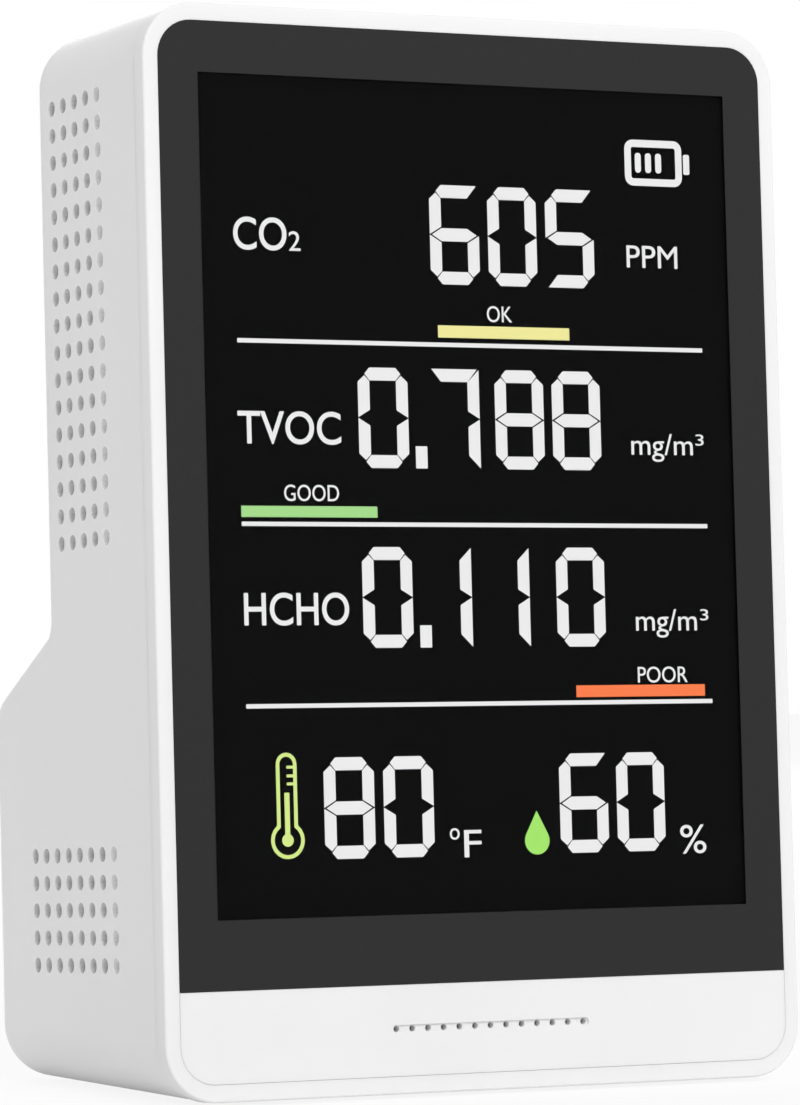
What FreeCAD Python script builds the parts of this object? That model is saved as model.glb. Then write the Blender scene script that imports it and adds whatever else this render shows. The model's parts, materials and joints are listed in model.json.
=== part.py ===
import FreeCAD, Part
import math
import os
import re
import Sketcher

# Desk-top air monitor that measures carbon dioxide, vapours, formaldehyde, temperature and humidity.
# Every piece is drawn upright: X to the right, Y from the front face to the back, Z up, with the
# middle of the front face's bottom edge at the origin. The whole monitor then leans back a little
# and is lifted by its feet, which stand() does with each piece's placement.

Vector = FreeCAD.Vector

SIZES = [
    # the case
    ("width", 100.0),
    ("height", 150.5),
    ("depth_upper", 39.9),      # front face to the upper back face
    ("depth_lower", 59.8),      # front face to the back face of the deeper foot
    ("step_top", 67.1),         # height of the inside corner of the step
    ("step_fall", 26.4),        # slope of the step, degrees below level
    ("lean", 2.6),              # degrees that the front face leans back
    ("corner_radius", 7.7),
    ("back_radius", 6.0),
    ("nook_radius", 1.0),
    ("wall", 2.0),
    ("fit_gap", 0.2),           # between mouldings that nest
    ("hole_gap", 0.05),         # around a screw in its hole
    # the front frame
    ("frame_edge", 3.0),
    ("edge_radius", 0.35),
    ("rim_side", 2.2),
    ("rim_end", 2.45),
    ("panel_radius", 5.2),
    ("recess", 1.6),
    ("tongue_wall", 1.4),
    ("tongue_end", 17.4),
    ("hook_wide", 10.0),
    ("hook_deep", 1.2),
    ("hook_proud", 0.5),
    ("rib_wide", 12.0),
    # the front panel: lens, printed border, gasket, and the strip below them
    ("panel_gap", 0.04),
    ("strip_top", 15.1),
    ("print_thick", 0.1),
    ("tape_thick", 1.0),
    ("tape_margin", 0.3),       # gasket set in from the lens and the ledge
    ("border_side", 6.0),       # printed border beside, above and below the window
    ("border_top", 7.15),
    ("border_foot", 9.6),
    ("groove_wide", 31.0),
    ("groove_tall", 1.1),
    ("groove_deep", 0.35),
    ("groove_level", 9.0),
    ("slot_margin", 2.0),       # opening in the ledge behind the groove
    ("sound_hole", 0.9),
    ("sound_pitch", 2.46),
    ("sound_count", 13),
    # side vents
    ("vent_hole", 2.15),
    ("vent_pitch", 3.852),
    ("vent_front", 15.66),      # column of blind dimples in front of the through holes
    ("dimple_deep", 0.9),
    ("upper_vent_drop", 10.97),  # top row of vents below the top of the case
    ("upper_vent_rows", 17),
    ("upper_vent_columns", 4),
    ("lower_vent_low", 18.7),
    ("lower_vent_rows", 5),
    ("lower_vent_columns", 7),
    # the display stack, front to back
    ("window_border", 1.2),     # ledge opening beyond the window, each way
    ("polariser_thick", 0.3),
    ("glass_thick", 1.1),
    ("stack_gap", 0.4),         # between the frame's tongue and the tray
    ("glass_under", 2.7),       # glass below the window
    ("glass_radius", 2.5),
    ("contact_ledge", 2.4),
    ("film_thick", 0.3),
    ("guide_thick", 2.5),
    ("lamp_room", 2.3),         # between the guide and the top of the glass
    ("lamp_wide", 3.5),
    ("lamp_tall", 1.5),
    ("sheet_thick", 0.2),
    ("tray_floor", 1.0),
    ("tray_wall", 1.2),
    ("post_width", 5.0),
    ("post_long", 3.3),
    ("lamp_count", 6),
    ("lamp_pitch", 14.0),
    ("lamp_strip_thick", 0.3),
    ("contact_tall", 1.7),
    ("contact_level", 1.1),     # middle of the contact strip above the foot of the glass
    ("contact_margin", 6.6),
    # boards
    ("board_thick", 1.6),
    ("small_board", 1.2),
    ("board_gap", 2.4),         # between the frame's tongue and the board
    ("board_top_gap", 2.9),
    ("board_foot_gap", 1.0),
    ("shoulder_gap", 1.3),
    ("tab_gap", 1.9),
    ("low_screw_z", 11.0),
    ("top_screw_side", 8.0),    # top screws in from the board's edges
    ("top_screw_drop", 6.0),
    ("case_screw_side", 10.0),
    ("case_screw_z", 13.2),
    ("small_screw", 2.0),
    ("small_head", 3.8),
    ("small_head_tall", 1.3),
    ("case_screw", 2.6),
    ("case_head", 5.0),
    ("case_head_tall", 1.9),
    ("case_screw_long", 11.0),
    ("tower_width", 8.6),
    ("tower_bore", 6.0),
    ("tower_seat", 2.4),
    ("boss_width", 6.2),
    ("header_tall", 3.0),
    ("header_deep", 2.5),
    ("chip_side", 7.0),         # small sensors in from the board's edges
    # sensors
    ("gas_level", 38.0),
    ("gas_board", 20.0),
    ("gas_edge", 19.0),         # modules in from the board's edges
    ("chamber_long", 24.0),
    ("chamber_tall", 14.0),
    ("chamber_deep", 8.0),
    ("cell_width", 13.5),
    ("cell_deep", 6.5),
    ("can_rim", 0.8),
    ("can_rim_thick", 0.5),
    # battery and charging
    ("battery_width", 18.4),
    ("battery_long", 65.0),
    ("cradle_long", 56.0),
    ("cradle_wall", 1.6),
    ("lead_width", 1.4),
    ("lead_bend", 4.2),
    ("plug_side", 5.2),
    ("nub_width", 5.6),
    ("nub_long", 1.2),
    ("guard_thick", 1.0),
    ("strap_wide", 12.0),
    ("strap_thick", 0.4),
    ("usb_level", 22.0),
    ("usb_wide", 8.94),
    ("usb_tall", 3.16),
    ("usb_long", 7.7),
    ("usb_sheet", 0.3),
    ("usb_inset", 0.9),
    ("charge_wide", 22.0),
    ("charge_long", 16.0),
    # keys on the upper back
    ("key_drop", 32.5),         # keys below the top of the case
    ("key_pitch", 14.0),
    ("key_width", 8.0),
    ("key_proud", 1.0),
    ("key_gap", 0.2),
    ("key_edge", 0.5),
    ("flange_thick", 1.1),
    ("flange_lip", 1.2),
    ("flange_gap", 0.1),
    ("stem_width", 4.0),
    ("stem_long", 1.0),
    ("plunger_width", 3.2),
    ("plunger_out", 1.2),
    ("plunger_in", 1.6),
    ("switch_wide", 6.0),
    ("switch_tall", 3.4),
    ("switch_bore", 2.6),
    ("key_board_wide", 60.0),
    ("key_board_tall", 12.0),
    # feet
    ("foot_width", 9.0),
    ("foot_sunk", 0.6),
    ("foot_proud", 0.6),
    ("foot_side", 16.0),
    ("foot_front", 11.0),
    ("foot_rear", 12.8),
]

doc = FreeCAD.newDocument("air_monitor")
sheet = doc.addObject("Spreadsheet::Sheet", "Sizes")
for row, (alias, size) in enumerate(SIZES, start=1):
    sheet.set(f"A{row}", alias)
    sheet.set(f"B{row}", str(size))
    sheet.setAlias(f"B{row}", alias)
doc.recompute()

NAMES = {alias for alias, size in SIZES}

# Places that several pieces share, as formulas in the sheet's own names.
DERIVED = {
    "rise": "tan(lean)",
    "floor_lift": "wall / cos(lean)",
    "slope": "tan(step_fall)",
    "panel_wide": "width - 2 * rim_side",
    "panel_top": "height - rim_end",
    "tongue_wide": "width - 2 * (wall + fit_gap)",
    "tongue_top": "height - wall - fit_gap",
    "tongue_low": "floor_lift + tongue_end * rise + fit_gap",
    "lens_thick": "recess - print_thick - tape_thick",
    "window_wide": "panel_wide - 2 * border_side",
    "window_low": "strip_top + border_foot",
    "window_tall": "panel_top - border_top - window_low",
    "window_middle": "window_low + window_tall / 2",
    "opening_wide": "window_wide + 2 * window_border",
    "opening_tall": "window_tall + 2 * window_border",
    "glass_wide": "tongue_wide - 2 * (tongue_wall + stack_gap + tray_wall + fit_gap)",
    "glass_top": "tongue_top - tongue_wall - stack_gap - tray_wall - fit_gap",
    "glass_low": "window_low - glass_under",
    "glass_middle": "(glass_low + glass_top) / 2",
    "glass_tall": "glass_top - glass_low",
    "guide_top": "glass_top - lamp_room",
    "contact_z": "glass_low + contact_level",
    "contact_long": "glass_wide - 2 * contact_margin",
    "film_front": "frame_edge + 2 * glass_thick",
    "guide_front": "film_front + film_thick",
    "sheet_front": "guide_front + guide_thick",
    "tray_front": "sheet_front + sheet_thick",
    "tray_back": "tray_front + tray_floor",
    "tray_inner_wide": "glass_wide + 2 * fit_gap",
    "tray_inner_tall": "glass_tall + 2 * fit_gap",
    "board_front": "tray_back + post_long",
    "board_back": "board_front + board_thick",
    "board_wide": "tongue_wide - 2 * (tongue_wall + board_gap)",
    "board_top": "tongue_top - tongue_wall - board_top_gap",
    "board_foot": "tongue_low + tongue_wall + board_foot_gap",
    "board_shoulder": "case_screw_z + boss_width / 2 + shoulder_gap",
    "case_screw_x": "width / 2 - case_screw_side",
    "low_screw_x": "case_screw_x - 10",
    "tab_wide": "2 * (case_screw_x - boss_width / 2 - tab_gap)",
    "top_screw_x": "board_wide / 2 - top_screw_side",
    "top_screw_z": "board_top - top_screw_drop",
    "gas_side": "board_wide / 2 - gas_edge",
    "plug_x": "board_wide / 2 - plug_side",
    "upper_vent_low": "height - upper_vent_drop - (upper_vent_rows - 1) * vent_pitch",
    "key_level": "height - key_drop",
    "foot_x": "width / 2 - foot_side",
    "foot_back": "depth_lower - foot_rear",
    "module_front": "board_back + header_tall",
    "module_back": "module_front + small_board",
    "inner_back": "depth_lower - wall",
    "battery_back": "inner_back - cradle_wall - fit_gap",
    "battery_middle": "battery_back - battery_width / 2",
    "back_corner": "step_top - slope * (depth_lower - depth_upper)"
                   " - wall / cos(step_fall) + wall * slope",
    "back_top": "back_corner - (back_radius - wall) * tan(45 - step_fall / 2)",
    "battery_level": "(usb_level + usb_tall / 2 + back_top) / 2",
    "charge_top": "usb_level - usb_tall / 2",
    "charge_low": "charge_top - small_board",
    "usb_mouth": "depth_lower - usb_inset",
    "charge_back": "inner_back - 1.5",
    "key_inner": "depth_upper - wall",
    "flange_back": "key_inner - flange_gap",
    "stem_front": "flange_back - flange_thick - stem_long",
    "switch_back": "stem_front - plunger_out",
    "key_board_back": "switch_back - switch_tall",
    "key_board_front": "key_board_back - small_board",
    "tower_front": "tongue_end + fit_gap",
    "seat_back": "tower_front + tower_seat",
    "arc_middle_y": "depth_lower - back_radius",
    "arc_middle_z": "step_top - slope * (depth_lower - depth_upper)"
                    " + back_radius * slope - back_radius / cos(step_fall)",
    "reach": "arc_middle_y * cos(lean) + arc_middle_z * sin(lean) + back_radius",
}
WORD = re.compile(r"[a-z][a-z_]+")


def formula(text):
    """Writes a formula with each shared place spelled out and each size read from the sheet."""
    def spell(found):
        word = found.group(0)
        if word in DERIVED:
            return "(" + WORD.sub(spell, DERIVED[word]) + ")"
        return "Sizes." + word if word in NAMES else word
    return WORD.sub(spell, str(text))


def number(text):
    """The value of a formula now."""
    return float(sheet.evalExpression(formula(text)))


def bind(thing, path, text):
    thing.setExpression(path, formula(text))


PARTS = []


def stand(piece, leaning=True):
    """Places a finished piece: leaning back about the front edge, over the middle of the footprint."""
    if leaning:
        piece.Placement.Rotation = FreeCAD.Rotation(Vector(-1, 0, 0), 1)
        bind(piece, "Placement.Rotation.Angle", "lean")
    bind(piece, "Placement.Base.y", "0 - reach / 2")
    bind(piece, "Placement.Base.z", "foot_proud")
    PARTS.append(piece)
    return piece


# ---- sketches and features of a body ----

def new_body(label):
    body = doc.addObject("PartDesign::Body", label)
    body.Label = label
    return body


def new_sketch(body, role, depth="0"):
    """A sketch on one of the body's own planes, moved along the axis across that plane."""
    plane = next(f for f in body.Origin.OriginFeatures if f.Role == role)
    sketch = body.newObject("Sketcher::SketchObject", body.Name + "_sketch")
    sketch.AttachmentSupport = (plane, [""])
    sketch.MapMode = "FlatFace"
    sign = "0 - " if role == "XZ_Plane" else ""
    bind(sketch, "AttachmentOffset.Base.z", f"{sign}({depth})")
    return sketch


def pin_distance(sketch, kind, ends, text):
    """A named distance, bound to the sheet."""
    index = sketch.addConstraint(Sketcher.Constraint(kind, *ends, number(text)))
    name = f"size_{index}"
    sketch.renameConstraint(index, name)
    bind(sketch, f"Constraints.{name}", text)


def draw_rectangle(sketch, x, z, wide, tall):
    """A rectangle by its middle and its two sides."""
    left, low = f"({x}) - ({wide}) / 2", f"({z}) - ({tall}) / 2"
    x0, z0 = number(left), number(low)
    x1, z1 = x0 + number(wide), z0 + number(tall)
    corners = [Vector(x0, z0, 0), Vector(x1, z0, 0), Vector(x1, z1, 0), Vector(x0, z1, 0)]
    first = sketch.GeometryCount
    for here, there in zip(corners, corners[1:] + corners[:1]):
        sketch.addGeometry(Part.LineSegment(here, there))
    for side in range(4):
        ends = (first + side, 2, first + (side + 1) % 4, 1)
        sketch.addConstraint(Sketcher.Constraint("Coincident", *ends))
        direction = "Horizontal" if side % 2 == 0 else "Vertical"
        sketch.addConstraint(Sketcher.Constraint(direction, first + side))
    pin_distance(sketch, "DistanceX", (first, 1, first, 2), wide)
    pin_distance(sketch, "DistanceY", (first + 1, 1, first + 1, 2), tall)
    pin_distance(sketch, "DistanceX", (-1, 1, first, 1), left)
    pin_distance(sketch, "DistanceY", (-1, 1, first, 1), low)


def draw_disc(sketch, x, z, across):
    """A circle by its middle and its diameter."""
    middle = Vector(number(x), number(z), 0)
    disc = sketch.addGeometry(Part.Circle(middle, Vector(0, 0, 1), number(across) / 2))
    pin_distance(sketch, "Diameter", (disc,), across)
    pin_distance(sketch, "DistanceX", (-1, 1, disc, 3), x)
    pin_distance(sketch, "DistanceY", (-1, 1, disc, 3), z)


def draw_polygon(sketch, corners):
    """A closed outline of straight sides by its corners."""
    points = [Vector(number(a), number(b), 0) for a, b in corners]
    for here, there in zip(points, points[1:] + points[:1]):
        sketch.addGeometry(Part.LineSegment(here, there))
    count = len(points)
    for side, (a, b) in enumerate(corners):
        ends = ((side - 1) % count, 2, side, 1)
        sketch.addConstraint(Sketcher.Constraint("Coincident", *ends))
        pin_distance(sketch, "DistanceX", (-1, 1, side, 1), a)
        pin_distance(sketch, "DistanceY", (-1, 1, side, 1), b)


def draw(sketch, shapes):
    for shape in shapes:
        if len(shape) == 3:
            draw_disc(sketch, *shape)
        else:
            draw_rectangle(sketch, *shape)


def pad(body, shapes, front, thick, role="XZ_Plane"):
    """Adds material from the plane at front, thick along the axis across it."""
    sketch = new_sketch(body, role, front)
    draw(sketch, shapes)
    feature = body.newObject("PartDesign::Pad", body.Name + "_pad")
    feature.Profile = sketch
    bind(feature, "Length", thick)
    feature.Reversed = role == "XZ_Plane"
    doc.recompute()
    return feature


def pocket(body, shapes, front, deep, role="XZ_Plane"):
    """Cuts shapes from the plane at front, deep along the axis across it."""
    before = body.Shape.Volume
    sketch = new_sketch(body, role, front)
    draw(sketch, shapes)
    feature = body.newObject("PartDesign::Pocket", body.Name + "_pocket")
    feature.Profile = sketch
    bind(feature, "Length", deep)
    feature.Reversed = role != "XZ_Plane"
    doc.recompute()
    if body.Shape.Volume > before - 1e-6:
        raise RuntimeError(f"a pocket of {body.Label} cuts nothing")
    return feature


def round_edges(body, radius, chosen):
    """Rounds the edges whose middle point passes the test."""
    base = body.Tip
    names = [
        f"Edge{index}"
        for index, edge in enumerate(base.Shape.Edges, start=1)
        if chosen(edge)
    ]
    fillet = body.newObject("PartDesign::Fillet", body.Name + "_round")
    fillet.Base = (base, names)
    bind(fillet, "Radius", radius)
    doc.recompute()
    return fillet


def runs_along_y(edge):
    a, b = edge.Vertexes[0].Point, edge.Vertexes[-1].Point
    return math.hypot(a.x - b.x, a.z - b.z) < 0.2 * abs(a.y - b.y)


def grid(body, feature, columns, rows, column_pitch, row_pitch):
    """Repeats a feature in columns along its sketch's first axis and rows along the second."""
    sketch = feature.Profile[0]
    pattern = body.newObject("PartDesign::LinearPattern", body.Name + "_grid")
    pattern.Originals = [feature]
    pattern.Direction = (sketch, ["H_Axis"])
    bind(pattern, "Length", f"({columns} - 1) * {column_pitch}")
    bind(pattern, "Occurrences", columns)
    if number(rows) > 1:
        pattern.Direction2 = (sketch, ["V_Axis"])
        bind(pattern, "Length2", f"({rows} - 1) * {row_pitch}")
        bind(pattern, "Occurrences2", rows)
    body.Tip = pattern
    doc.recompute()
    return pattern


def slab(label, x, z, wide, tall, front, thick, radius=None):
    """A flat piece that stands in the plane of the front face."""
    body = new_body(label)
    pad(body, [(x, z, wide, tall)], front, thick)
    if radius:
        round_edges(body, radius, runs_along_y)
    return stand(body)


def drum(label, x, z, across, front, thick):
    """A round piece whose axis runs from front to back."""
    body = new_body(label)
    pad(body, [(x, z, across)], front, thick)
    return stand(body)


# ---- the case ----

def case_form(label, inset, front):
    """The outside of the rear housing, or its hollow when inset by the wall."""
    body = new_body(label)
    sketch = new_sketch(body, "YZ_Plane")
    under = f"{inset} / cos(lean)"
    back, upper_back = f"depth_lower - {inset}", f"depth_upper - {inset}"
    drop = f"{inset} / cos(step_fall) - {inset} * slope"
    draw_polygon(sketch, [
        (front, f"({front}) * rise + {under}"),
        (back, f"({back}) * rise + {under}"),
        (back, f"step_top - slope * (depth_lower - depth_upper) - ({drop})"),
        (upper_back, f"step_top - ({drop})"),
        (upper_back, f"height - {inset}"),
        (front, f"height - {inset}"),
    ])
    block = body.newObject("PartDesign::Pad", label + "_pad")
    block.Profile = sketch
    block.SideType = "Symmetric"
    bind(block, "Length", f"width - 2 * {inset}")
    doc.recompute()
    side = number(f"width / 2 - {inset}")
    corner_z = number(f"step_top - ({drop})")
    nook_y = number(upper_back)
    nook_reach = number(f"nook_radius + {inset} + 1")

    def long_corner(edge):
        middle = edge.CenterOfGravity
        return runs_along_y(edge) and abs(abs(middle.x) - side) < 0.01 and (
            min(v.Point.y for v in edge.Vertexes) < number(front) + 0.01)

    def nook(edge):
        middle = edge.CenterOfGravity
        return math.hypot(middle.y - nook_y, middle.z - corner_z) < 0.01

    def rear_rim(edge):
        points = [v.Point for v in edge.Vertexes]
        middle = edge.CenterOfGravity
        if min(p.y for p in points) < nook_y - number("corner_radius") / 4:
            return False
        crosses = abs(points[0].x + points[-1].x) < 0.01 and len(points) > 1
        nook_line = crosses and abs(middle.z - corner_z) < nook_reach
        return not nook_line

    round_edges(body, f"corner_radius - {inset}", long_corner)
    round_edges(body, f"nook_radius + {inset}", nook)
    round_edges(body, f"back_radius - {inset}", rear_rim)
    return body


def side_vents(body, low, columns, rows):
    """One grid of vents through both side walls, with a column of blind dimples in front of it."""
    sketch = new_sketch(body, "YZ_Plane")
    draw_disc(sketch, "vent_front + vent_pitch", low, "vent_hole")
    holes = body.newObject("PartDesign::Pocket", body.Name + "_vents")
    holes.Profile = sketch
    holes.SideType = "Symmetric"
    bind(holes, "Length", "width + 2")
    grid(body, holes, columns, rows, "vent_pitch", "vent_pitch")
    for face, inward in (("width / 2", False), ("0 - width / 2", True)):
        sketch = new_sketch(body, "YZ_Plane", face)
        draw_disc(sketch, "vent_front", low, "vent_hole")
        dimple = body.newObject("PartDesign::Pocket", body.Name + "_dimples")
        dimple.Profile = sketch
        dimple.Reversed = inward
        bind(dimple, "Length", "dimple_deep")
        pattern = body.newObject("PartDesign::LinearPattern", body.Name + "_dimple_row")
        pattern.Originals = [dimple]
        pattern.Direction = (sketch, ["V_Axis"])
        bind(pattern, "Length", f"({rows} - 1) * vent_pitch")
        bind(pattern, "Occurrences", rows)
        body.Tip = pattern
        doc.recompute()


def make_rear_housing():
    """One deep white tub: back, sides, top and underside, with its towers, bosses and openings."""
    hollow = case_form("housing_hollow", "wall", "frame_edge - 1")
    body = case_form("rear_housing", "0", "frame_edge")
    cut = body.newObject("PartDesign::Boolean", "housing_cut")
    cut.Type = "Cut"
    cut.setObjects([hollow])
    doc.recompute()
    # screw towers at the foot of the case
    sides = ("case_screw_x", "0 - case_screw_x")
    tower = [(x, "case_screw_z", "tower_width") for x in sides]
    pad(body, tower, "tower_front", "inner_back + wall / 2 - tower_front")
    pocket(body, [(x, "case_screw_z", "tower_bore") for x in sides], "seat_back",
           "depth_lower + 1 - seat_back")
    pocket(body, [(x, "case_screw_z", "case_screw + 4 * hole_gap") for x in sides],
           "tower_front - 1", "tower_seat + 2")
    # bosses that carry the key board on the upper back
    bosses = [(x, "key_level", "post_width") for x in KEY_SCREWS]
    pad(body, bosses, "key_board_back", "key_inner + wall / 2 - key_board_back")
    pocket(body, [(x, "key_level", "small_screw + 2 * hole_gap") for x in KEY_SCREWS],
           "key_board_back - 1", "5")
    # posts on the floor that carry the charging board
    posts = [(x, CHARGE_SCREW_Y, "post_width") for x in CHARGE_SCREWS]
    post_foot = f"(({CHARGE_SCREW_Y}) * rise + wall / 2)"
    pad(body, posts, post_foot, f"charge_low - {post_foot}", "XY_Plane")
    pocket(body, [(x, CHARGE_SCREW_Y, "small_screw + 2 * hole_gap") for x in CHARGE_SCREWS],
           "charge_low - 6", "7", "XY_Plane")
    # openings for the keys and the charging socket
    pocket(body, [(x, "key_level", "key_width + 2 * key_gap") for x in KEYS.values()],
           "key_inner - 1", "wall + 2")
    pocket(body, [("0", "usb_level", "usb_wide + 2 * fit_gap", "usb_tall + 2 * fit_gap")],
           "inner_back - 1", "wall + 2")
    # catches in the top wall for the frame's hooks
    for x in HOOKS:
        pocket(body, [(x, "tongue_top + hook_proud / 2 + fit_gap / 2",
                       "hook_wide + 2 * fit_gap", "hook_proud + fit_gap")],
               "tongue_end - 2 * hook_deep - fit_gap", "hook_deep + 2 * fit_gap")
    # shallow seats for the feet, square to the sloping underside
    seats = new_sketch(body, "XY_Plane")
    seats.AttachmentOffset = FreeCAD.Placement(Vector(), FreeCAD.Rotation(Vector(1, 0, 0), 1))
    bind(seats, "AttachmentOffset.Rotation.Angle", "lean")
    draw(seats, [(x, y, "foot_width + 2 * hole_gap") for x, y in FEET])
    feet = body.newObject("PartDesign::Pocket", "foot_seats")
    feet.Profile = seats
    feet.Reversed = True
    bind(feet, "Length", "foot_sunk")
    doc.recompute()
    side_vents(body, "upper_vent_low", "upper_vent_columns", "upper_vent_rows")
    side_vents(body, "lower_vent_low", "lower_vent_columns", "lower_vent_rows")
    return stand(body)


def make_front_frame():
    """The white front frame: a rounded rim, a ledge behind the panel and a tongue inside the tub."""
    body = new_body("front_frame")
    pad(body, [("0", "height / 2", "width", "height")], "0", "frame_edge")
    round_edges(body, "corner_radius", runs_along_y)
    round_edges(body, "edge_radius",
                lambda edge: all(abs(v.Point.y) < 0.001 for v in edge.Vertexes))
    tongue = new_body("frame_tongue")
    pad(tongue, [("0", "(tongue_low + tongue_top) / 2", "tongue_wide", "tongue_top - tongue_low")],
        "frame_edge - 1", "tongue_end - frame_edge + 1")
    round_edges(tongue, "corner_radius - wall - fit_gap", runs_along_y)
    hollow = new_body("tongue_hollow")
    pad(hollow, [("0", "(tongue_low + tongue_top) / 2", "tongue_wide - 2 * tongue_wall",
                  "tongue_top - tongue_low - 2 * tongue_wall")], "frame_edge", "tongue_end")
    round_edges(hollow, "corner_radius - wall - fit_gap - tongue_wall", runs_along_y)
    panel = new_body("panel_recess")
    pad(panel, [("0", "height / 2", "panel_wide", "height - 2 * rim_end")], "-1", "recess + 1")
    round_edges(panel, "panel_radius", runs_along_y)
    for kind, tools in (("Fuse", [tongue]), ("Cut", [hollow, panel])):
        joined = body.newObject("PartDesign::Boolean", "frame_" + kind.lower())
        joined.Type = kind
        joined.setObjects(tools)
        doc.recompute()
    # window for the display, and a slot for the sounder behind the strip
    pocket(body, [("0", "window_middle", "opening_wide", "opening_tall"),
                  ("0", "groove_level", "groove_wide + slot_margin", "groove_tall + slot_margin")],
           "recess - 0.5", "frame_edge")
    # bosses for the board screws and for the two long case screws
    sides = ("case_screw_x", "0 - case_screw_x")
    pad(body, [(x, "case_screw_z", "boss_width") for x in sides],
        "frame_edge - 0.6", "tongue_end - frame_edge + 0.6")
    pocket(body, [(x, "case_screw_z", "case_screw + 2 * hole_gap") for x in sides],
           "tower_front - case_screw_long + tower_seat", "case_screw_long")
    sides = ("low_screw_x", "0 - low_screw_x")
    pad(body, [(x, "low_screw_z", "post_width") for x in sides],
        "frame_edge - 0.6", "board_front - frame_edge + 0.6")
    pocket(body, [(x, "low_screw_z", "small_screw + 2 * hole_gap") for x in sides],
           "board_front - 7", "8")
    # hooks on top of the tongue, and ribs under it that trap the display tray
    pad(body, [(x, "tongue_top + hook_proud / 2 - 0.2", "hook_wide", "hook_proud + 0.4 - fit_gap")
               for x in HOOKS], "tongue_end - 2 * hook_deep", "hook_deep")
    pad(body, [(x, "tongue_top - tongue_wall - 0.5", "rib_wide", "1.6") for x in HOOKS],
        "tray_back + fit_gap / 2", "hook_deep")
    return stand(body)


def make_lower_strip():
    """The white strip under the lens, with a round-ended groove and a row of sound holes."""
    body = new_body("lower_strip")
    pad(body, [("0", "(rim_end + strip_top) / 2", "panel_wide - 2 * panel_gap",
                "strip_top - rim_end - 2 * panel_gap")], "0", "recess")
    middle = number("(rim_end + strip_top) / 2")
    round_edges(body, "panel_radius - panel_gap",
                lambda edge: runs_along_y(edge) and edge.CenterOfGravity.z < middle)
    pocket(body, [("0", "groove_level", "groove_wide - groove_tall", "groove_tall")],
           "-1", "groove_deep + 1")
    ends = ("groove_wide / 2 - groove_tall / 2", "0 - groove_wide / 2 + groove_tall / 2")
    for x in ends:
        pocket(body, [(x, "groove_level", "groove_tall")], "-1", "groove_deep + 1")
    first = "0 - (sound_count - 1) * sound_pitch / 2"
    hole = pocket(body, [(first, "groove_level", "sound_hole")], "-1", "recess + 2")
    grid(body, hole, "sound_count", "1", "sound_pitch", "0")
    return stand(body)


def panel_sheet(label, front, thick, gap, cuts=()):
    """A sheet of the lens's outline: square at the strip, round at the two top corners."""
    body = new_body(label)
    pad(body, [("0", "(strip_top + panel_top) / 2", f"panel_wide - 2 * {gap}",
                f"panel_top - strip_top - 2 * {gap}")], front, thick)
    middle = number("(strip_top + panel_top) / 2")
    round_edges(body, f"panel_radius - {gap}",
                lambda edge: runs_along_y(edge) and edge.CenterOfGravity.z > middle)
    if cuts:
        pocket(body, cuts, front, thick)
    return stand(body)


def make_panel():
    """The dark border, the clear lens it is printed on and the foam gasket behind them."""
    panel_sheet("lens_border_print", "0", "print_thick", "panel_gap",
                [("0", "window_middle", "window_wide", "window_tall")])
    panel_sheet("lens", "print_thick", "lens_thick", "panel_gap")
    panel_sheet("lens_tape", "lens_thick + print_thick", "tape_thick", "tape_margin",
                [("0", "window_middle", "opening_wide + 2 * tape_margin",
                  "opening_tall + 2 * tape_margin")])


# ---- the display ----

def make_display():
    """The liquid crystal cell and everything that lights it, front to back."""
    slab("front_polariser", "0", "window_middle", "opening_wide - 2 * fit_gap",
         "opening_tall - 2 * fit_gap", "frame_edge - polariser_thick", "polariser_thick")
    slab("lcd_front_glass", "0", "glass_middle", "glass_wide", "glass_tall",
         "frame_edge", "glass_thick", "glass_radius")
    slab("lcd_rear_glass", "0", "glass_middle + contact_ledge / 2", "glass_wide",
         "glass_tall - contact_ledge", "frame_edge + glass_thick", "glass_thick", "glass_radius")
    film_low, film_high = "glass_low + contact_ledge + fit_gap", "guide_top"
    middle, tall = f"({film_low} + {film_high}) / 2", f"{film_high} - ({film_low})"
    slab("diffuser_film", "0", middle, "glass_wide - 2", tall, "film_front", "film_thick")
    slab("light_guide", "0", middle, "glass_wide - 2", tall, "guide_front", "guide_thick")
    slab("reflector_sheet", "0", middle, "glass_wide - 1.6", tall, "sheet_front", "sheet_thick")
    lamps = new_body("backlight_lamps")
    lamp_level = "guide_top + fit_gap / 2 + lamp_tall / 2"
    lamp = pad(lamps, [("0 - (lamp_count - 1) * lamp_pitch / 2", lamp_level, "lamp_wide",
                        "lamp_tall")], "guide_front + fit_gap", "guide_thick - 2 * fit_gap")
    grid(lamps, lamp, "lamp_count", "1", "lamp_pitch", "0")
    stand(lamps)
    slab("lamp_strip", "0", f"{lamp_level} + lamp_tall / 2 + lamp_strip_thick / 2",
         "(lamp_count - 1) * lamp_pitch + 2 * lamp_wide + 1", "lamp_strip_thick",
         "guide_front", "guide_thick")
    slab("contact_strip", "0", "contact_z", "contact_long", "contact_tall",
         "frame_edge + glass_thick", "board_front - frame_edge - glass_thick")


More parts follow.
